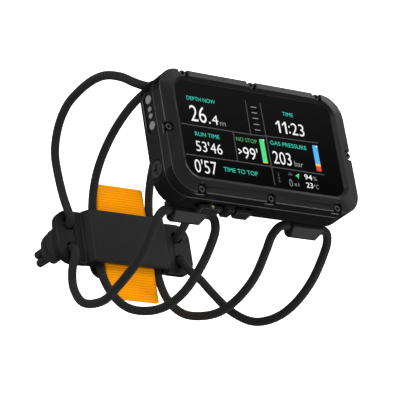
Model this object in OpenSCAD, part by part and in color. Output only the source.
// Wrist dive computer on two bungee loops.
// Frame: +X to the display's right, +Y to its top, +Z out of the display.
// The origin is the centre of the flat back that rests on the wrist.

/* [Case] */
// Width of the case along X
case_w = 110; // [106:1:114]
// Depth of the case along Y
case_d = 64; // [63:0.5:66]
// Height of the case's front edge above its back
case_h = 27; // [26.5:0.5:30]
// Corner radius of the case outline
case_r = 12; // [11:0.5:14]
// Height of the bezel's side band
band_h = 6.2; // [6:0.1:6.6]
// Height of the side wall, band included
wall_h = 16.8; // [16.6:0.1:17]
// Width of the narrower back block
back_w = 92; // [90:1:94]
// Depth of the narrower back block
back_d = 52; // [50:0.5:52]

/* [Display] */
// Width of the window in the bezel
window_w = 92.8; // [90:0.2:93]
// Depth of the window in the bezel
window_d = 49.7; // [48:0.1:50]
// How far the window sits above the middle of the case
window_y = 1.1; // [0.8:0.1:1.2]
// Corner radius of the window
window_r = 7; // [6:0.5:8]
// Plan width of the bevel between the ridge and the window
ridge_in = 2.2; // [1.5:0.1:2.4]
// Height of the ridge above the front edge
ridge_h = 1.3; // [0.8:0.1:1.6]

/* [Bezel screws] */
// X of the outer screws in the top and bottom rows
screw_x = 40; // [38:0.5:42]
// Y of the two rows
screw_y = 30; // [29.9:0.1:30.2]
// X of the single screw on each short side
screw_side_x = 53.2; // [53:0.1:53.4]
// Diameter of the pocket round each head
pocket_dia = 4.8; // [4.4:0.1:4.9]

/* [Buttons] */
// X of the left and the right button
button_x = [-28.8, -9.8]; // [-40:0.2:0]
// Height of the buttons' axes above the back
button_z = 15.1; // [15:0.1:15.2]
// Width of the left and the right button
button_w = [12, 9]; // [8.4:0.2:12.4]
// Height of a button
button_t = 5; // [4:0.2:5.2]
// How far a button stands out of the case
button_out = 4.2; // [3.8:0.1:4.4]
// Travel of a button
button_travel = 1.2; // [0.8:0.1:1.2]

/* [Bungee] */
// Diameter of the bungee cord
cord_dia = 4.4; // [4.2:0.1:4.6]
// Diameter of the cord holes
cord_hole = 5; // [4.9:0.1:5.2]
// Diameter of the mouths of the cord holes in the plate
plate_hole = 5.8; // [5.4:0.1:6]
// X of a lug's inner end
lug_x0 = 25.4; // [25:0.1:26]
// X of a lug's outer end
lug_x1 = 44; // [43:0.1:44.4]
// Distance of the lug bores from the middle of the case
lug_y = 32; // [31.8:0.1:32.2]
// Height of the lug bores above the back
lug_z = 6.7; // [6.5:0.1:6.9]
// How far below its bore a lug reaches
lug_r = 4.9; // [4.6:0.1:5]

/* [Wrist plate] */
// Length of the wrist plate along X
plate_w = 83; // [80:0.2:86]
// Width of the wrist plate along Y
plate_d = 28.6; // [27:0.2:30]
// Y of the wrist plate's middle
plate_y = -1.1; // [-1.5:0.1:-0.5]
// Depth of the raised bridge's wrist side below the back
bridge_z = 88; // [87:0.5:89]
// Depth of the end lobes' wrist side below the back
lobe_z = 93; // [92.5:0.5:93.5]
// X of the cord holes in the lobes
hole_x = 33.3; // [32:0.1:35]
// Half the distance between a lobe's two holes
hole_y = 6.5; // [6:0.1:7]

/* [Hidden] */
$fn = 48;

// Case levels
wall_z = case_h - wall_h;
band_z = case_h - band_h;
floor_t = 2.4;
cavity_w = 92;
cavity_d = 48.6;
seat_w = 95.2;
seat_d = 52;
lens_flange_z = 24.2;
lens_lip_z = 25.4;
head_z = 24.6;
head_r = 1.7;
head_t = 2.2;
seal_w = 1;

// Board and its posts
board_z = 12.6;
board_t = 1.2;
board_w = 84;
board_d = 38;
post_x = 38;
post_y = 16;

// Charging recess on the left wall: centre, half height along Y, half height along Z
contact_y = 12.2;
contact_z = 16.2;
contact_half = 11;
contact_r = 4.1;
contact_deep = 1.8;
pads = [[18.9, 2.1], [13.9, 1.3], [10.4, 1.3], [5.4, 2.1]];

// Sensor port on the left wall
port_y = -16.6;
port_z = 14.8;
port_r = 4.2;

// Button bore stack, from the wall inwards
notch_deep = 1.8;
notch_gap = 0.45;
spring_deep = 2;
spring_bore_r = 2.7;
stem_r = 1.5;
stem_bore_r = 1.55;
stem_end_y = -22.8;
wall_in_y = -cavity_d / 2;

// Lugs: distance of the flat outer face from the bore's axis and the way it faces
lug_face = 3.4;
face_tilt = 24.3;
face_out = cos(face_tilt);
face_up = sin(face_tilt);

// Wrist plate
lobe_t = 4;
bridge_t = 2.6;
bridge_half = 22.6;
slope_w = 2.6;
channel_half = 20.5;
keeper_x = 22.6;
plate_x = 0.3;
slope_step = 0.9;
keeper_z = 96.5;
keeper_t = 2.2;
rivet_y = 8;
tab_w = 30;
tab_x = 0.3;
tab_t = 1.6;
tab_z = 93;
tab_y0 = -33.5;
tab_y1 = 30.5;

// Bungee routes, through the knot, the plate, both lugs of one side and back
left_route = [[-36.5, -3.5, -106], [-34.5, -6.8, -101], [-33.3, -7.6, -97.5],
    [-33.3, -7.6, -93], [-33.4, -10, -90.6], [-34, -14, -90.6], [-35.5, -20, -92],
    [-35.5, -27, -93.5], [-36, -33, -91.5], [-37, -40, -86],
    [-39, -46, -75], [-41, -50, -60], [-44.5, -50.5, -44], [-46.5, -48.5, -28], [-48.5, -46, -15],
    [-50, -42, -5], [-51, -37.5, 2.5], [-49, -33.5, 6.4], [-45, -32, 6.7], [-24.5, -32, 6.7],
    [-20.5, -33.5, 7], [-18.5, -38, 5], [-17.5, -44.5, -3], [-17.5, -51.5, -14],
    [-17.5, -57, -29], [-17.5, -57.5, -46], [-18, -53, -62], [-18, -45, -76],
    [-17.5, -33, -87], [-17.3, -18, -93.5], [-17.3, 15, -93.5], [-17.3, 31, -86], [-18, 43, -70],
    [-18, 51, -50], [-18, 53, -30], [-18, 50, -13], [-18, 44.5, -2], [-18.5, 38.5, 5.5],
    [-20.5, 34, 7.2], [-24.5, 32, 6.7], [-45, 32, 6.7], [-49, 32.8, 5.8], [-51, 36.5, 1.5],
    [-51.5, 42, -5], [-51, 49.5, -17.5], [-49, 54.5, -31], [-47.5, 56.5, -46],
    [-46, 55.5, -62], [-43, 50, -77], [-40.5, 41, -86], [-38, 31, -89.5], [-35.5, 19, -91],
    [-34, 11, -90.6], [-33.4, 7.6, -90.6], [-33.3, 5.4, -93], [-33.3, 5.4, -97.5],
    [-34.5, 3.4, -101], [-36.5, 0.5, -106]];
right_route = [[36.5, -1, -106], [34.5, -5.8, -101], [33.3, -7.6, -97.5],
    [33.3, -7.6, -93], [33.4, -9.5, -90.8], [34, -14.5, -88], [35.5, -23.5, -81],
    [37, -32.5, -75.5], [40, -46.5, -66], [42.5, -57, -52.5], [44.5, -60.5, -36],
    [46.5, -58, -23], [48.5, -51.5, -11], [50, -43, -2], [50, -36.5, 4],
    [48.2, -33, 6.4], [45, -32, 6.7], [24.5, -32, 6.7], [20.5, -32.6, 6], [18.5, -35.5, 1],
    [18.2, -41, -5], [18.5, -49.5, -17], [18.5, -54.5, -32], [18.5, -55.5, -48],
    [18, -52, -63], [18, -44.5, -78], [18, -33, -88.5], [18, -18, -93.5], [18, 15, -93.5],
    [18, 31, -89], [18, 45, -79], [18, 54, -63], [18, 56, -44], [18, 53, -24], [18, 47, -7],
    [18, 40, 3], [20.5, 34, 6.6], [24.5, 32, 6.7], [45, 32, 6.7], [48.5, 33.5, 6.2],
    [50.5, 38, 3], [50.5, 46, -5], [49, 54, -18], [47, 58, -33], [45, 58, -48], [42.5, 53, -61],
    [40.5, 43, -70], [39, 29, -76.5], [37, 16, -83], [34.8, 9.2, -87.8], [33.6, 6.6, -90.8],
    [33.3, 5.4, -93], [33.3, 5.4, -97.5], [34.5, 4.4, -101], [36.5, 3, -106]];

// ---------- helpers ----------

// A rounded rectangle with true arcs
module rrect(w, d, r) {
    square([w - 2 * r, d], center = true);
    square([w, d - 2 * r], center = true);
    for (x = [-1, 1], y = [-1, 1]) translate([x * (w / 2 - r), y * (d / 2 - r)]) circle(r);
}

module slab(w, d, r, z0, z1) {
    translate([0, 0, z0]) linear_extrude(z1 - z0) rrect(w, d, r);
}

module ring(w, d, r, wall, z0, z1) {
    translate([0, 0, z0]) linear_extrude(z1 - z0) difference() {
        rrect(w, d, r);
        rrect(w - 2 * wall, d - 2 * wall, r - wall);
    }
}

module along_x(r, x0, x1) {
    translate([x0, 0, 0]) rotate([0, 90, 0]) cylinder(r = r, h = x1 - x0);
}

module along_y(r, y0, y1) {
    translate([0, y0, 0]) rotate([-90, 0, 0]) cylinder(r = r, h = y1 - y0);
}

module at_bezel_screws() {
    for (x = [-1, 0, 1], y = [-1, 1]) translate([x * screw_x, y * screw_y, 0]) children();
    for (x = [-1, 1]) translate([x * screw_side_x, 0, 0]) children();
}

// A socket head screw, head up, with its head's underside at z = 0
module socket_screw(r_head, t_head, r, length) {
    difference() {
        union() {
            cylinder(r = r_head, h = t_head);
            translate([0, 0, -length]) cylinder(r = r, h = length + 0.1);
        }
        translate([0, 0, t_head - 1.1]) cylinder(r = r_head * 0.5, h = 2, $fn = 6);
    }
}

// Tube along a route: a ring of points round each route point, square to the route there
function unit(v) = v / norm(v);
function heading(p, i) = unit(p[min(i + 1, len(p) - 1)] - p[max(i - 1, 0)]);
function side_of(t, last) = unit(last - t * (last * t));
function sides(p, i, last) = i == len(p) ? [] :
    let (s = side_of(heading(p, i), last)) concat([s], sides(p, i + 1, s));
module tube(p, r, n) {
    s = sides(p, 0, [0.3, 0.8, 0.52]);
    points = [for (i = [0:len(p) - 1]) let (t = heading(p, i), u = s[i], v = cross(t, u))
        for (k = [0:n - 1]) p[i] + r * (cos(360 * k / n) * u + sin(360 * k / n) * v)];
    rounds = [for (i = [0:len(p) - 2], k = [0:n - 1]) let (a = i * n + k, b = i * n + (k + 1) % n)
        [b, a, a + n, b + n]];
    first = [for (k = [0:n - 1]) k];
    end = [for (k = [n - 1:-1:0]) (len(p) - 1) * n + k];
    polyhedron(points, concat(rounds, [first], [end]), convexity = 8);
}

// ---------- case ----------

module button_bores() {
    for (i = [0, 1]) translate([button_x[i], 0, button_z]) {
        translate([0, -case_d / 2 + notch_deep / 2, 0])
            cube([button_w[i] + 2 * notch_gap, notch_deep + 0.01, button_t + 2 * notch_gap],
                center = true);
        along_y(spring_bore_r, -case_d / 2, -case_d / 2 + notch_deep + spring_deep);
        along_y(stem_bore_r, -case_d / 2, wall_in_y + 1);
    }
}

module contact_recess(grow, deep) {
    translate([-case_w / 2 - 1, contact_y, contact_z]) rotate([0, 90, 0])
        linear_extrude(deep + 1) {
            square([2 * (contact_r + grow), 2 * (contact_half - contact_r)], center = true);
            for (s = [-1, 1]) translate([0, s * (contact_half - contact_r)])
                circle(contact_r + grow);
        }
}

module rear_housing() {
    color("#1c1c1e") difference() {
        union() {
            slab(case_w, case_d, case_r, wall_z, band_z);
            slab(back_w, back_d, 9, 1, wall_z);
            slab(back_w - 2, back_d - 2, 8, 0, 1);
        }
        slab(cavity_w, cavity_d, 7, wall_z + 1, band_z + 1);
        slab(back_w - 5, back_d - 5, 6.5, floor_t, wall_z + 2);
        ring(seat_w + 5.8, seat_d + 3.9, 10, seal_w + 0.1, band_z - 0.7, band_z + 1);
        at_bezel_screws() translate([0, 0, band_z - 8]) cylinder(r = 0.95, h = 9);
        button_bores();
        contact_recess(0, contact_deep);
        for (p = pads) translate([0, p[0], contact_z]) along_x(0.65, -case_w / 2, -40);
        translate([0, port_y, port_z]) {
            along_x(port_r + 0.05, -case_w / 2 - 1, -case_w / 2 + 3.4);
            along_x(2.2, -case_w / 2, -40);
        }
        for (x = [-1, 1], y = [-1, 1], i = [0, 1])
            translate([x * (lug_x0 + 4 + i * 10.6), y * (lug_y - 4.1), wall_z - 1])
                cylinder(r = 0.85, h = 4.2);
    }
    color("#1c1c1e") for (x = [-1, 1], y = [-1, 1]) translate([x * post_x, y * post_y, floor_t - 0.4])
        difference() {
            cylinder(r = 2.4, h = board_z - floor_t + 0.4);
            translate([0, 0, 4.4]) cylinder(r = 0.85, h = 10);
        }
}

module front_bezel() {
    ridge_w = window_w + 2 * ridge_in;
    ridge_d = window_d + 2 * ridge_in;
    color("#2a2a2c") difference() {
        union() {
            slab(case_w, case_d, case_r, band_z, case_h);
            hull() {
                translate([0, 0, case_h - 0.01]) linear_extrude(0.01)
                    rrect(case_w, case_d, case_r, $fn = 40);
                translate([0, window_y, case_h + ridge_h - 0.01]) linear_extrude(0.01)
                    rrect(ridge_w, ridge_d, window_r + ridge_in, $fn = 40);
            }
        }
        translate([0, window_y, 0]) {
            slab(window_w, window_d, window_r, band_z + 1, case_h + 2);
            slab(seat_w, seat_d, 8.4, band_z - 1, lens_lip_z + 0.05);
            hull() {
                translate([0, 0, case_h + 0.1]) linear_extrude(0.01)
                    rrect(window_w, window_d, window_r, $fn = 40);
                translate([0, 0, case_h + ridge_h]) linear_extrude(0.01)
                    rrect(ridge_w - 0.2, ridge_d - 0.2, window_r + ridge_in, $fn = 40);
            }
        }
        at_bezel_screws() {
            translate([0, 0, band_z - 1]) cylinder(r = 1.1, h = 10);
            translate([0, 0, head_z]) cylinder(d = pocket_dia, h = 6);
        }
        for (x = [-1, 0, 1], y = [-1, 1]) translate([x * screw_x, y * (screw_y + 2), head_z + 3])
            cube([pocket_dia, 4, 6], center = true);
        for (x = [-1, 1]) translate([x * (screw_side_x + 2), 0, head_z + 3])
            cube([4, pocket_dia, 6], center = true);
    }
}

module bezel_screws() {
    color("#3a3a3c") at_bezel_screws() translate([0, 0, head_z])
        socket_screw(head_r, head_t, 0.95, 9);
}

module case_seal() {
    color("#101010") ring(seat_w + 5.7, seat_d + 3.8, 9.95, seal_w, band_z - 0.7, band_z);
}

module lens() {
    color("#0a0a0c") translate([0, window_y, 0]) {
        slab(window_w - 0.1, window_d - 0.1, window_r, lens_lip_z - 0.1, case_h);
        slab(seat_w - 0.4, seat_d - 0.4, 8.2, lens_flange_z, lens_lip_z);
    }
}

module lens_gasket() {
    color("#101010") translate([0, window_y, 0])
        ring(seat_w - 0.4, seat_d - 0.4, 8.2, 1.6, lens_flange_z - 0.9, lens_flange_z);
}

module display_panel() {
    color("#050506") translate([0, window_y, 0])
        slab(90, 47.2, 5, band_z + 1.1, lens_flange_z - 0.05);
}

module display_tray() {
    color("#8a8a8e") translate([0, window_y, 0]) {
        difference() {
            slab(seat_w - 0.5, seat_d - 0.5, 8.1, band_z, band_z + 1);
            translate([board_w / 2 - 8, 0, 0]) slab(6, 22, 1, band_z - 1, band_z + 2);
        }
        ring(seat_w - 0.5, seat_d - 0.5, 8.1, 1.6, band_z + 1, lens_flange_z - 0.9);
    }
}

// ---------- inside ----------

module main_board() {
    color("#1d5c35") difference() {
        slab(board_w, board_d, 2, board_z, board_z + board_t);
        for (x = [-1, 1], y = [-1, 1]) translate([x * post_x, y * post_y, board_z - 1])
            cylinder(r = 1.1, h = 4);
    }
}

module board_screws() {
    color("#b0b0b4") for (x = [-1, 1], y = [-1, 1])
        translate([x * post_x, y * post_y, board_z + board_t]) socket_screw(1.7, 1.4, 0.85, 6);
}

module shield_cans() {
    color("#c4c4c8") translate([0, 0, board_z + board_t]) {
        translate([-18, 1, 0]) slab(20, 16, 0.8, 0, 2.2);
        translate([8, -1, 0]) slab(18, 20, 0.8, 0, 1.8);
    }
}

module battery_pack() {
    color("#4a4a52") slab(66, 40, 3, floor_t + 0.2, board_z - 1);
}

module display_ribbon() {
    x0 = board_w / 2 - 9.6;
    color("#b5651d") translate([0, window_y + 7, 0]) rotate([90, 0, 0]) linear_extrude(14)
        polygon([[x0, board_z + board_t], [x0 + 3.4, board_z + board_t],
            [x0 + 3.4, band_z + 1.1], [x0 + 3.1, band_z + 1.1], [x0 + 3.1, board_z + board_t + 0.3],
            [x0, board_z + board_t + 0.3]]);
}

module antenna_strip() {
    color("#d4af37") translate([-28, 17.6, board_z + board_t]) cube([56, 1, 5]);
}

module vibration_motor() {
    color("#b8b8bc") translate([24, 9, board_z + board_t]) {
        cylinder(r = 4.5, h = 3);
        translate([4, -1.5, 0]) cube([2.5, 3, 1]);
    }
}

module beeper_disc() {
    color("#c9a227") translate([24, -8, board_z + board_t]) {
        cylinder(r = 6, h = 0.8);
        cylinder(r = 4.6, h = 1.4);
    }
}

module pressure_sensor() {
    color("#c8c8cc") translate([0, port_y, port_z]) {
        along_x(2.1, -case_w / 2 + 3.6, -case_w / 2 + 8.6);
    }
}

module sensor_seal() {
    color("#101010") translate([-case_w / 2 + 3, port_y, port_z]) rotate([0, 90, 0])
        rotate_extrude() translate([3.1, 0]) circle(0.4);
}

module sensor_cap() {
    color("#232325") translate([0, port_y, port_z]) difference() {
        along_x(port_r, -case_w / 2 + 0.1, -case_w / 2 + 2.6);
        translate([-case_w / 2, 0, 0]) {
            cube([1.6, 5.2, 1.1], center = true);
            translate([0, 0, -1.2]) cube([1.6, 1.1, 2.6], center = true);
        }
    }
}

module contact_block() {
    color("#303033") difference() {
        intersection() {
            contact_recess(-0.05, contact_deep);
            translate([-case_w / 2 + 1, -20, 0]) cube([0.8, 60, 40]);
        }
        for (p = pads) translate([0, p[0], contact_z]) along_x(0.65, -case_w / 2, -40);
    }
}

module contact_pads() {
    color("#b9bcc0") for (p = pads) translate([0, p[0], contact_z]) {
        along_x(p[1], -case_w / 2 + 0.35, -case_w / 2 + 1);
        along_x(0.6, -case_w / 2 + 0.9, -cavity_w / 2 + 1.5);
    }
}

// ---------- buttons ----------

module button_guard() {
    x = (button_x[0] + button_x[1]) / 2 + 1;
    color("#262628") translate([x, -case_d / 2, 0]) rotate([0, 0, 180])
        translate([0, 0, button_z - 3.6]) linear_extrude(7.4)
            polygon([[-2.9, 0], [2.9, 0], [2.2, 3.3], [-2.2, 3.3]]);
}

// Cap seen from its end: a neck against the wall, then a head whose outer face leans outwards
module button_cap(side) {
    half = button_w[side] / 2;
    ribs = floor((button_w[side] - 3.2) / 1.15);
    back = -case_d / 2 - 0.9;
    face = -case_d / 2 - button_out + 0.3;
    low = -button_t / 2;
    color("#161617") translate([button_x[side], 0, button_z]) {
        translate([0, back + 0.45, 0]) cube([2 * half - 2, 1.1, button_t - 1.6], center = true);
        intersection() {
            translate([-half, 0, 0]) rotate([90, 0, 90]) linear_extrude(2 * half)
                polygon([[back, low], [back, -low], [face + 1.1, -low], [face, low + 0.6],
                    [face + 0.5, low]]);
            translate([0, 0, -5]) linear_extrude(10) polygon([[-half, back + 1], [half, back + 1],
                [half, face + 1], [half - 1.2, face - 0.2], [1.2 - half, face - 0.2], [-half, face + 1]]);
        }
        for (i = [0:ribs - 1]) translate([(i - (ribs - 1) / 2) * 1.15, face + 0.38, 0.3])
            rotate([-14, 0, 0]) cube([0.6, 0.7, button_t - 1.2], center = true);
    }
}

module button_stem(x) {
    color("#a8abb0") translate([x, 0, button_z]) difference() {
        along_y(stem_r, -case_d / 2 + 0.1, stem_end_y);
        for (y = [-27, stem_end_y - 1.3]) translate([0, y, 0]) rotate([90, 0, 0])
            rotate_extrude() translate([1.1, -0.45]) square([1, 0.9]);
    }
}

module button_seal(x) {
    color("#0c0c0c") translate([x, -27, button_z]) rotate([90, 0, 0])
        rotate_extrude() translate([1.3, 0]) circle(0.2);
}

module button_clip(x) {
    color("#c0c0c4") translate([x, 0, button_z]) difference() {
        along_y(2.4, stem_end_y - 1.1, stem_end_y - 0.9);
        along_y(1.1, stem_end_y - 2, stem_end_y);
        translate([-0.8, stem_end_y - 2, 0]) cube([1.6, 2, 4]);
    }
}

module button_spring(x) {
    turns = 3;
    steps = 12;
    y0 = -case_d / 2 + 0.5;
    y1 = -case_d / 2 + notch_deep + spring_deep - 0.4;
    route = [for (i = [0:turns * steps]) let (a = 360 * i / steps)
        [x + 2.1 * cos(a), y0 + (y1 - y0) * i / (turns * steps), button_z + 2.1 * sin(a)]];
    color("#c0c0c4") tube(route, 0.25, 5);
}

module button_switch(x) {
    color("#d8d8da") translate([x - 2.5, -18.8, board_z + board_t]) cube([5, 3.2, 2.6]);
    color("#d8d8da") translate([x, 0, button_z]) along_y(0.9, -21.3, -18.8);
}

// ---------- bungee lugs ----------

// Outline of a lug across its bore: outwards along X, up along Y, bore at the origin
module lug_outline() {
    top = wall_z - lug_z;
    drop = 2.2;
    in_x = (lug_face - drop - face_up * (drop - lug_r)) / face_out;
    polygon(concat([[-6, top], [(lug_face - face_up * top) / face_out, top]],
        [for (i = [0:8]) let (a = face_tilt - i * (face_tilt + 90) / 8)
            [in_x + drop * cos(a), drop * sin(a) + drop - lug_r]], [[-6, -lug_r]]));
}

// A lug on the side given by the signs of x and y, with a bore along X for the cord
module lug(sx, sy) {
    mid = (lug_x0 + lug_x1) / 2;
    half = (lug_x1 - lug_x0) / 2;
    far = lug_y + lug_face + 2.6;
    near = lug_y - 6;
    color("#4b4b4e") difference() {
        intersection() {
            translate([sx * mid - half, sy * lug_y, lug_z])
                rotate([90, 0, 90]) linear_extrude(2 * half) scale([sy, 1]) lug_outline();
            translate([sx * mid, 0, 0]) linear_extrude(20) polygon([[-half, sy * near],
                [half, sy * near], [half, sy * (far - 3.4)], [half - 2.2, sy * far],
                [2.2 - half, sy * far], [-half, sy * (far - 3.4)]]);
        }
        translate([0, sy * lug_y, lug_z]) along_x(cord_hole / 2, sx * mid - 20, sx * mid + 20);
        for (i = [0, 1]) translate([sx * (lug_x0 + 4 + i * 10.6), sy * (lug_y - 4.1), 0]) {
            cylinder(r = 0.95, h = 12);
            translate([0, 0, 1]) cylinder(r = 1.8, h = 2.6);
        }
    }
}

module lug_screws() {
    color("#b0b0b4") for (x = [-1, 1], y = [-1, 1], i = [0, 1])
        translate([x * (lug_x0 + 4 + i * 10.6), y * (lug_y - 4.1), 3.6]) rotate([180, 0, 0])
            socket_screw(1.6, 1.4, 0.8, 9);
}

// ---------- wrist plate ----------

module plate_profile() {
    s = bridge_half + slope_w;
    polygon([[-60, -lobe_z], [-s, -lobe_z], [-s, slope_step - lobe_z],
        [-bridge_half, -bridge_z], [bridge_half, -bridge_z], [s, slope_step - lobe_z],
        [s, -lobe_z], [60, -lobe_z], [60, -lobe_z - lobe_t], [s, -lobe_z - lobe_t],
        [s - 0.6, -keeper_z], [channel_half, -keeper_z], [channel_half, -bridge_z - bridge_t],
        [-channel_half, -bridge_z - bridge_t], [-channel_half, -keeper_z], [0.6 - s, -keeper_z],
        [-s, -lobe_z - lobe_t], [-60, -lobe_z - lobe_t]]);
}

module wrist_plate() {
    color("#303031") translate([0, plate_y, 0]) difference() {
        intersection() {
            translate([plate_x, 0, 0]) slab(plate_w, plate_d, 8, -110, -80);
            rotate([90, 0, 0]) translate([0, 0, -40]) linear_extrude(80) plate_profile();
        }
        for (x = [-1, 1], y = [-1, 1]) {
            translate([x * hole_x, y * hole_y, -lobe_z - 10]) cylinder(d = cord_hole, h = 20);
            translate([x * hole_x, y * hole_y, -lobe_z - 1.2]) cylinder(d = plate_hole, h = 5);
            translate([x * keeper_x, y * 8, -keeper_z - 1]) cylinder(r = 0.85, h = 5);
        }
    }
}

module plate_keeper() {
    color("#202021") difference() {
        union() {
            translate([0, plate_y - 0.5, 0])
                slab(2 * channel_half - 0.4, 38, 6, -keeper_z - keeper_t, -keeper_z);
            translate([0, plate_y, 0]) slab(49, 22, 3, -keeper_z - keeper_t, -keeper_z);
            translate([0, plate_y, 0]) slab(28, 24, 2, -keeper_z - 0.1, -tab_z - tab_t / 2);
        }
        for (x = [-1, 1], y = [-1, 1]) translate([x * keeper_x, plate_y + y * 8, -keeper_z - 5])
            cylinder(r = 1.05, h = 10);
        for (y = [-1, 1]) translate([0, plate_y + y * rivet_y, -keeper_z - 5])
            cylinder(r = 1.5, h = 10);
    }
}

module keeper_screws() {
    color("#b0b0b4") for (x = [-1, 1], y = [-1, 1])
        translate([x * keeper_x, plate_y + y * 8, -keeper_z - keeper_t]) rotate([180, 0, 0])
            socket_screw(1.7, 1.2, 0.8, 5.4);
}

module pull_tab() {
    color("#ff960a") difference() {
        translate([tab_x, (tab_y0 + tab_y1) / 2, -tab_z - tab_t / 2]) linear_extrude(tab_t)
            rrect(tab_w, tab_y1 - tab_y0, 1);
        for (y = [-1, 1]) translate([0, plate_y + y * rivet_y, -tab_z - 3])
            cylinder(r = 1.5, h = 6);
    }
}

module tab_rivets() {
    color("#b0b0b4") for (y = [-1, 1]) translate([0, plate_y + y * rivet_y, 0]) {
        translate([0, 0, -keeper_z - keeper_t - 0.7]) cylinder(r = 2.6, h = 0.7);
        translate([0, 0, -keeper_z - keeper_t]) cylinder(r = 1.45, h = keeper_z + keeper_t - 92);
        translate([0, 0, -tab_z + tab_t / 2]) cylinder(r = 2.6, h = 0.7);
    }
}

// ---------- bungee cords ----------

module bungee_cord_left() {
    color("#161617") tube(left_route, cord_dia / 2, 8);
}

module bungee_cord_right() {
    color("#161617") tube(right_route, cord_dia / 2, 8);
}

// Both ends of one cord tied together in one stopper knot under a lobe, with its two tails.
// middle: Y of the knot, tails: Y of each tail's root and the way it leans along Y, lean: outward lean
module knot(side, middle, tails, lean) {
    color("#161617") translate([side * 37, middle, 0]) {
        hull() for (y = [-1, 1]) translate([0, y * 4.9, -107.4]) cylinder(r = 4.2, h = 10);
        translate([side * 1.2, 3.6, -110]) cylinder(r = 2.4, h = 5);
        translate([side * 0.2, -1.4, -109.6]) cylinder(r = 3.6, h = 5);
    }
    color("#161617") for (t = tails)
        translate([side * 37.6, t[0], -106]) rotate([t[1], -side * lean, 0])
            translate([0, 0, -10]) cylinder(d = cord_dia, h = 10);
}

module knot_left() { knot(-1, -2.8, [[-2.4, -6], [-7.2, -4]], 12); }
module knot_right() { knot(1, 1.5, [[0.4, 0], [5.2, 2]], 20); }

module left_button_cap() { button_cap(0); }
module left_button_stem() { button_stem(button_x[0]); }
module left_button_seal() { button_seal(button_x[0]); }
module left_button_clip() { button_clip(button_x[0]); }
module left_button_spring() { button_spring(button_x[0]); }
module left_button_switch() { button_switch(button_x[0]); }
module right_button_cap() { button_cap(1); }
module right_button_stem() { button_stem(button_x[1]); }
module right_button_seal() { button_seal(button_x[1]); }
module right_button_clip() { button_clip(button_x[1]); }
module right_button_spring() { button_spring(button_x[1]); }
module right_button_switch() { button_switch(button_x[1]); }
module lug_bottom_left() { lug(-1, -1); }
module lug_bottom_right() { lug(1, -1); }
module lug_top_left() { lug(-1, 1); }
module lug_top_right() { lug(1, 1); }

rear_housing();
front_bezel();
bezel_screws();
case_seal();
lens();
lens_gasket();
display_panel();
display_tray();
main_board();
board_screws();
shield_cans();
battery_pack();
display_ribbon();
antenna_strip();
vibration_motor();
beeper_disc();
pressure_sensor();
sensor_seal();
sensor_cap();
contact_block();
contact_pads();
button_guard();
left_button_cap();
left_button_stem();
left_button_seal();
left_button_clip();
left_button_spring();
left_button_switch();
right_button_cap();
right_button_stem();
right_button_seal();
right_button_clip();
right_button_spring();
right_button_switch();
lug_bottom_left();
lug_bottom_right();
lug_top_left();
lug_top_right();
lug_screws();
wrist_plate();
plate_keeper();
keeper_screws();
pull_tab();
tab_rivets();
bungee_cord_left();
bungee_cord_right();
knot_left();
knot_right();
